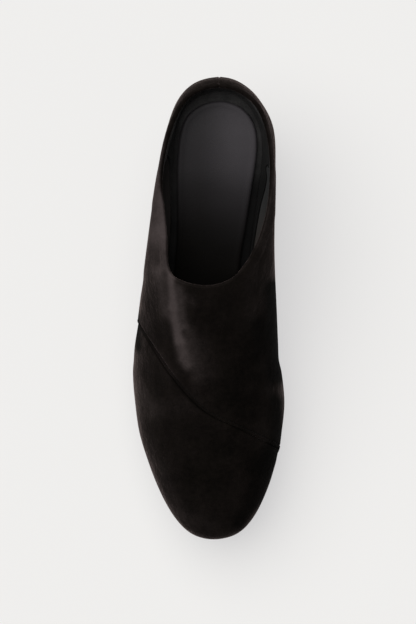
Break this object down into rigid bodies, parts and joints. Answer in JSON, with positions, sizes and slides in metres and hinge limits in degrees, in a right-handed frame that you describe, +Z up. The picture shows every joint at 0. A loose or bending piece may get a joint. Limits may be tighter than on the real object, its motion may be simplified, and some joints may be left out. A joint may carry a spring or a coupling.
{
  "type": "platform clog",
  "caption": "Velvet platform clog for the right foot with a diagonal two-panel upper, low closed back and covered block heel.",
  "frame": {"origin": "on the floor, below the middle of the shoe's bounding box", "axes": "+Z up, toe towards -Y, heel towards +Y, medial (inner) side towards +X"},
  "size_m": [0.0899, 0.2687, 0.1005],
  "materials": {
    "velvet": "black short-pile velvet",
    "suede": "black suede lining",
    "leather": "smooth dark grey leather",
    "rubber": "matte black rubber"
  },
  "bodies": {
    "root": {"upper": "velvet", "insole": "suede", "sock_liner": "leather", "platform": "velvet", "outsole": "rubber", "heel": "velvet", "heel_top_piece": "rubber"}
  },
  "joints": []
}
